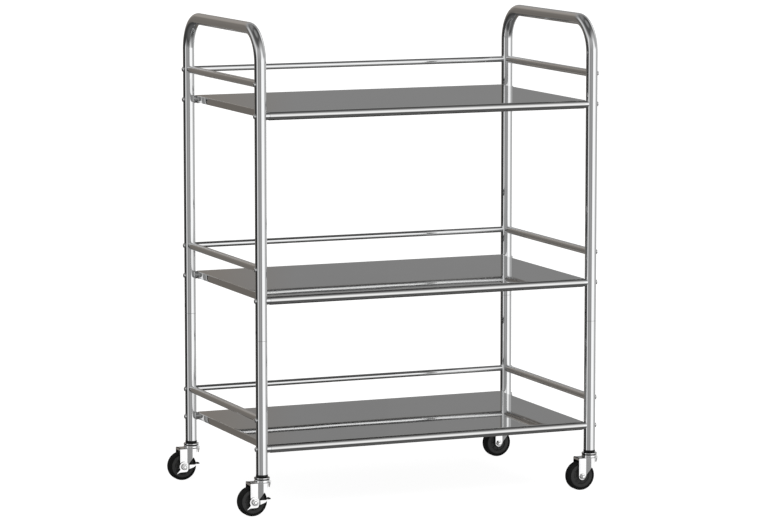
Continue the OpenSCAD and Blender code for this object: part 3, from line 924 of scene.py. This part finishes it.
def swivel_cap(shape, base):
    """A dished washer, sloping up to the leg insert."""
    z, top = CAP_Z, INSERT_Z - 0.05
    profile = [(z + 1.0, STEM_HOLE_R), (z + 1.0, 9.4), (z + 0.3, 9.6), (z + 0.3, 13.1), (z + 0.35, 13.3)]
    profile += [(z + 0.5, 13.4), (z + 1.75, 13.4), (z + 1.95, 13.3), (z + 2.05, 13.0)]
    profile += [(top - 0.05, 10.4), (top, 10.0), (top, STEM_HOLE_R)]
    shape.turn(base, Z, profile, loop=True)


def swivel_tops():
    inserts, caps = Shape(), Shape()
    for axis in legs.values():
        base = Vector((axis.x, axis.y, 0))
        leg_insert(inserts, base)
        seal_ring(inserts, base)
        swivel_cap(caps, base)
    inserts.piece("leg_end_inserts", "leg_sockets", "black_plastic")
    caps.piece("swivel_cover_caps", "swivel_caps", "caster_steel")


swivel_tops()

# ---- casters: forks ----

hub_middle = middle("front_left_wheel_hub")
AXLE_Z = hub_middle.z
WHEEL_R = AXLE_Z  # the wheels stand on the floor
TRAIL = legs["front_left"].x - hub_middle.x  # from the stem back to the axle
FORK_HALF = 12.0  # half the width over the fork's cheeks
FORK_T = 1.7
STRAP = 6.5  # half the length of a cheek, seen from the side
STEP_L = 9.4  # length of the outward step from a cheek to the crown
CROWN_R = 14.5
BACK_X = -TRAIL - STRAP
BACK_LIP_Z = CROWN_Z - 2.4
EDGE_FOOT, EDGE_SLOPE = 0.4, 1.39  # the slanted front edge: its start above the axle, and its rise
RACE_R = 10.8
RACE_ROUND = 2.4
RACE_BORE_R = 4.06
LIP_X, LIP_Z, LIP_HALF = 16.8, 47.0, 2.2


def edge_height(x):
    """How low the cheeks hang, this far in front of the stem."""
    return min(CROWN_Z, AXLE_Z + EDGE_FOOT + (x + TRAIL - STRAP) * EDGE_SLOPE)


def crown_columns():
    """Points round the crown's edge seen from above, each with the height its wall hangs down to."""
    foot = -TRAIL + STRAP
    half = [(BACK_X, -FORK_HALF + 1.0, BACK_LIP_Z), (BACK_X, -FORK_HALF + 0.35, BACK_LIP_Z)]
    half += [(BACK_X + 0.02, -FORK_HALF + 0.05, AXLE_Z + 0.5)]
    for k in range(17):
        t = math.pi + math.pi * k / 16
        half.append((-TRAIL + STRAP * math.cos(t), -FORK_HALF, AXLE_Z + STRAP * math.sin(t)))
    half.append((foot + 0.25, -FORK_HALF - 0.02, edge_height(foot)))
    corners = [(foot + 0.3, -FORK_HALF), (foot + 1.2, -FORK_HALF - 0.3), (foot + STEP_L, -CROWN_R)]
    corners += [(0, -CROWN_R), (0, 0)]
    step = rounded(corners, [0, 3, 3, 0, 0], 5)[1:-2]
    half += [(x, y, edge_height(x)) for x, y in step]
    for k in range(1, 17):
        t = math.radians(-90 + 90 * k / 16)
        x, y = CROWN_R * math.cos(t), CROWN_R * math.sin(t)
        half.append((x, y, edge_height(x)))
    return half + [(x, -y, z) for x, y, z in reversed(half[:-1])]


def fork_body(shape, base):
    """The crown with its rounded edge and the cheeks that hang from it."""
    columns = crown_columns()
    outline = [(x, y) for x, y, _ in columns]
    top = CROWN_Z + CROWN_T
    round_r = 1.6

    def ring(inset, height):
        moved = shrink(outline, inset)
        return [base + Vector((p[0], p[1], height(c[2]))) for p, c in zip(moved, columns)]

    rings = [ring(2.2, lambda low: top)]
    for s, c in sin_cos(15, 35, 55, 75, 90):
        rings.append(ring(round_r * (1 - s), lambda low, c=c: top - round_r * (1 - c)))
    rings.append(ring(0, lambda low: min(low + 0.3, top - 1.7)))
    rings.append(ring(0.3, lambda low: min(low, top - 1.9)))
    rings.append(ring(FORK_T - 0.3, lambda low: min(low, top - 1.9)))
    rings.append(ring(FORK_T, lambda low: min(low + 0.3, CROWN_Z)))
    rings.append(ring(FORK_T, lambda low: CROWN_Z))
    rings.append(ring(FORK_T + 0.4, lambda low: CROWN_Z))
    shape.grid(rings)


def ball_race(shape, base):
    """The drum on the crown that holds the swivel's balls."""
    top = CROWN_Z + CROWN_T
    rim, shoulder = top + RACE_H, RACE_R + RACE_ROUND
    profile = [(top - 0.3, shoulder - 0.05), (top + 0.1, shoulder + 0.05), (top + 1.2, shoulder)]
    profile += [(rim - RACE_ROUND, shoulder)]
    for s, c in sin_cos(15, 30, 45, 60, 75, 90):
        profile.append((rim - RACE_ROUND * (1 - s), RACE_R + RACE_ROUND * c))
    profile += [(rim, 9.3), (rim - 1, 9.3), (rim - 1, RACE_BORE_R), (top - 0.3, RACE_BORE_R)]
    shape.turn(base, Z, profile, 96, loop=True)


def front_lip(shape, base):
    """The narrow tongue that hangs from the crown's front."""
    top = CROWN_Z + CROWN_T
    outline = [(CROWN_R - 2, top - 0.05), (LIP_X, top - 0.1), (14.2, LIP_Z), (12.6, LIP_Z)]
    outline += [(14.8, CROWN_Z), (CROWN_R - 2, CROWN_Z + 0.1)]
    lip = rounded(outline, [0, 1.2, 0.4, 0.4, 0.8, 0], 5)
    lip.reverse()
    shape.plate(lip, lambda a, b, c: base + Vector((a, c, b)), -LIP_HALF, LIP_HALF, 0.25)


def fork(corner):
    base = Vector((legs[corner].x, legs[corner].y, 0))
    shape = Shape()
    fork_body(shape, base)
    ball_race(shape, base)
    front_lip(shape, base)
    shape.piece(f"{corner}_caster_fork", f"{corner}_fork", "caster_steel", sharp=50)


# ---- casters: axles ----

BOLT_R = 2.97
BORE_R = 3.05  # of nuts, washers and hubs
NUT_H = 3.6
WASHER_H = 0.75
BRAKED_NUT_R, PLAIN_NUT_R = 5.5, 4.7  # to their corners
LEVER_GAP, LEVER_T = 0.8, 1.6


def axle_middle(corner):
    return Vector((legs[corner].x - TRAIL, legs[corner].y, AXLE_Z))


def washer(shape, centre, face, r):
    profile = [(face, BORE_R), (face, r - 0.25), (face + 0.15, r), (face + 0.6, r)]
    profile += [(face + WASHER_H, r - 0.25), (face + WASHER_H, BORE_R)]
    shape.turn(centre, -Y, profile, 64, loop=True)


def smooth_nut(shape, centre, start, size):
    """A hexagon nut with rounded corners on both faces, and a bore."""
    flat = size * math.cos(math.pi / 6)
    hexa = hexagon(size)

    def trimmed(extra):
        return lambda t: min(hexa(t), flat + extra)

    end = start + NUT_H
    profile = [(start, BORE_R), (start, trimmed(0)), (start + 0.25, trimmed(0.35)), (start + 0.6, hexa)]
    profile += [(end - 0.7, hexa), (end - 0.4, trimmed(0.45)), (end - 0.12, trimmed(0.1))]
    profile += [(end, trimmed(-0.3)), (end, BORE_R + 0.5), (end - 0.5, BORE_R)]
    shape.turn(centre, -Y, profile, 72, loop=True)


def axle(corner, braked):
    """A nut on its washer in front, and a domed bolt through the wheel; a brake plate moves the nut out."""
    centre = axle_middle(corner)
    face = FORK_HALF + (LEVER_GAP + LEVER_T + 0.1 if braked else 0.05)
    size = BRAKED_NUT_R if braked else PLAIN_NUT_R
    nut = Shape()
    washer(nut, centre, face, size + 0.55)
    smooth_nut(nut, centre, face + WASHER_H + 0.05, size)
    nut.piece(f"{corner}_hex_nut", f"{corner}_axle_nut", "bolt_steel", sharp=30)
    end, head = face + 5.4, FORK_HALF + 1.2
    profile = [(-end, 2.0), (-end + 0.3, 2.6), (-end + 0.8, BOLT_R - 0.02), (FORK_HALF - 0.2, BOLT_R)]
    profile += [(FORK_HALF - 0.2, 4.7), (FORK_HALF + 0.1, 5.0)]
    profile += [(head + 1.75 * s, 3.2 + 1.75 * c) for s, c in sin_cos(0, 18, 36, 54, 72, 88)]
    profile += [(FORK_HALF + 2.9, 1.2), (FORK_HALF + 2.6, 0.6)]
    bolt = Shape().turn(centre, Y, profile, 64)
    bolt.piece(f"{corner}_axle_rivet", f"{corner}_axle_bolt", "bolt_steel", sharp=40)


# ---- casters: wheels ----

TYRE_HALF = 7.75
TYRE_ROUND = 3
HUB_HALF = 7.85  # where the hub's side disc stands
RIB_COUNT = 8


def tyre(corner):
    """A rounded tread with a fine moulding line, and a recess for the hub in each side."""
    face, r = -TYRE_HALF, WHEEL_R
    side = [(face + 0.75, 17.1), (face + 0.65, 17.4), (face + 0.65, 20.4), (face + 0.4, 20.6), (face, 20.9)]
    for s, c in sin_cos(*range(0, 91, 9)):
        side.append((face + TYRE_ROUND * (1 - c), r - TYRE_ROUND + TYRE_ROUND * s))
    side += [(face + 3.6, r), (-0.45, r), (-0.3, r - 0.12), (-0.12, r - 0.12)]
    shape = Shape().turn(axle_middle(corner), Y, both_sides(side), 128, loop=True)
    shape.piece(f"{corner}_moulded_tyre", f"{corner}_tyre", "tyre_rubber", sharp=45)


def hub(corner):
    """A boss and a rim joined by a web, with shallow ribs across it."""
    centre = axle_middle(corner)
    boss = [(-9.7, BORE_R), (-9.7, 4.6), (-9.5, 5.3), (-9.1, 5.7), (-7.6, 6.0), (-6.4, 6.3)]
    web = [(-6.1, 6.8), (-6.0, 7.6), (-6.0, 12.8), (-6.1, 13.5)]
    rim = [(-6.6, 13.9), (-7.4, 14.2), (-7.7, 14.5), (-HUB_HALF, 15.0), (-HUB_HALF, 19.5)]
    rim += [(-7.75, 20.0), (-7.5, 20.3), (-7.15, 20.3), (-7.15, 17.0)]
    shape = Shape().turn(centre, Y, both_sides(boss + web + rim), 96, loop=True)
    rib = rounded([(5.7, -0.8), (13.9, -0.6), (13.9, 0.6), (5.7, 0.8)], 0.15, 2)
    for k in range(RIB_COUNT):
        t = 2 * math.pi * k / RIB_COUNT
        u = Vector((math.cos(t), 0, math.sin(t)))
        v = Y.cross(u)
        shape.plate(rib, lambda a, b, c, u=u, v=v: centre + u * a + v * b + Y * c, -6.9, 6.9)
    name, node = f"{corner}_ribbed_hub", f"{corner}_wheel_hub"
    shape.piece(name, node, "black_plastic", sharp=40, finish="hub_plastic")


# ---- casters: foot brakes ----

LEVER_RING_R = 8.6
ARM_OUT = 1.3  # how far the arm stands outside the side plate
PEDAL_Z = (3.6, 5.8)  # from the axle
TREAD_EDGE = 25.85  # the pedal's edge beside the tread, just clear of the tyre


def foot_brake(corner):
    """A side plate with a tail, folded outward into an arm, and a black plastic pedal across the tread."""
    centre = axle_middle(corner)
    outer = -FORK_HALF - LEVER_GAP - LEVER_T
    out = outer - ARM_OUT

    def on_side(a, b, c):
        return centre + Vector((a, c, b))

    def on_fold(a, b, c):
        return on_side(a, b, c - (a - 7.0) * 0.45)

    ring = arc((0, 0), LEVER_RING_R, 27, 215, 32)
    tail = [(-14.2, -12.4), (-13.6, -12.6), (-8.2, -10.0), (4.4, -9.6), (6.6, -8.0), (7.6, -5.0)]
    plate = rounded(ring + tail, [0] * len(ring) + [0.3, 0.3, 4, 3, 3, 0.5], 4)
    shape = Shape().plate(plate, on_side, outer, outer + LEVER_T)
    fold = [(6.8, -5.0), (9.9, -4.3), (9.9, 3.2), (6.8, 3.6)]
    shape.plate(fold, on_fold, outer, outer + LEVER_T, 0.15)
    corners = [(9.6, -4.4), (12.0, -3.6), (18.3, -1.4), (22.4, 1.8), (23.0, 4.6), (21.4, 4.6)]
    corners += [(20.0, 3.0), (9.6, 3.2)]
    arm = rounded(corners, [0, 3, 3, 0.6, 0.2, 0.2, 0.5, 0], 4)
    shape.plate(arm, on_side, out, out + LEVER_T)
    shape.piece(f"{corner}_foot_brake", f"{corner}_brake_lever", "caster_steel", sharp=40)

    corners = [(21.2, out), (28.6, out), (28.6, -5), (TREAD_EDGE, -5), (TREAD_EDGE, -8.75), (21.2, -8.75)]
    pad = rounded(corners, [0.8, 2, 1.2, 0.5, 1, 0.8], 5)
    pedal = Shape().plate(pad, lambda a, b, c: centre + Vector((a, b, c)), *PEDAL_Z, 0.6)
    pedal.piece(f"{corner}_brake_pedal", f"{corner}_brake_lever", "black_plastic", sharp=40)


for corner in CORNERS:
    braked = corner.endswith("left")
    fork(corner)
    axle(corner, braked)
    tyre(corner)
    hub(corner)
    if braked:
        foot_brake(corner)
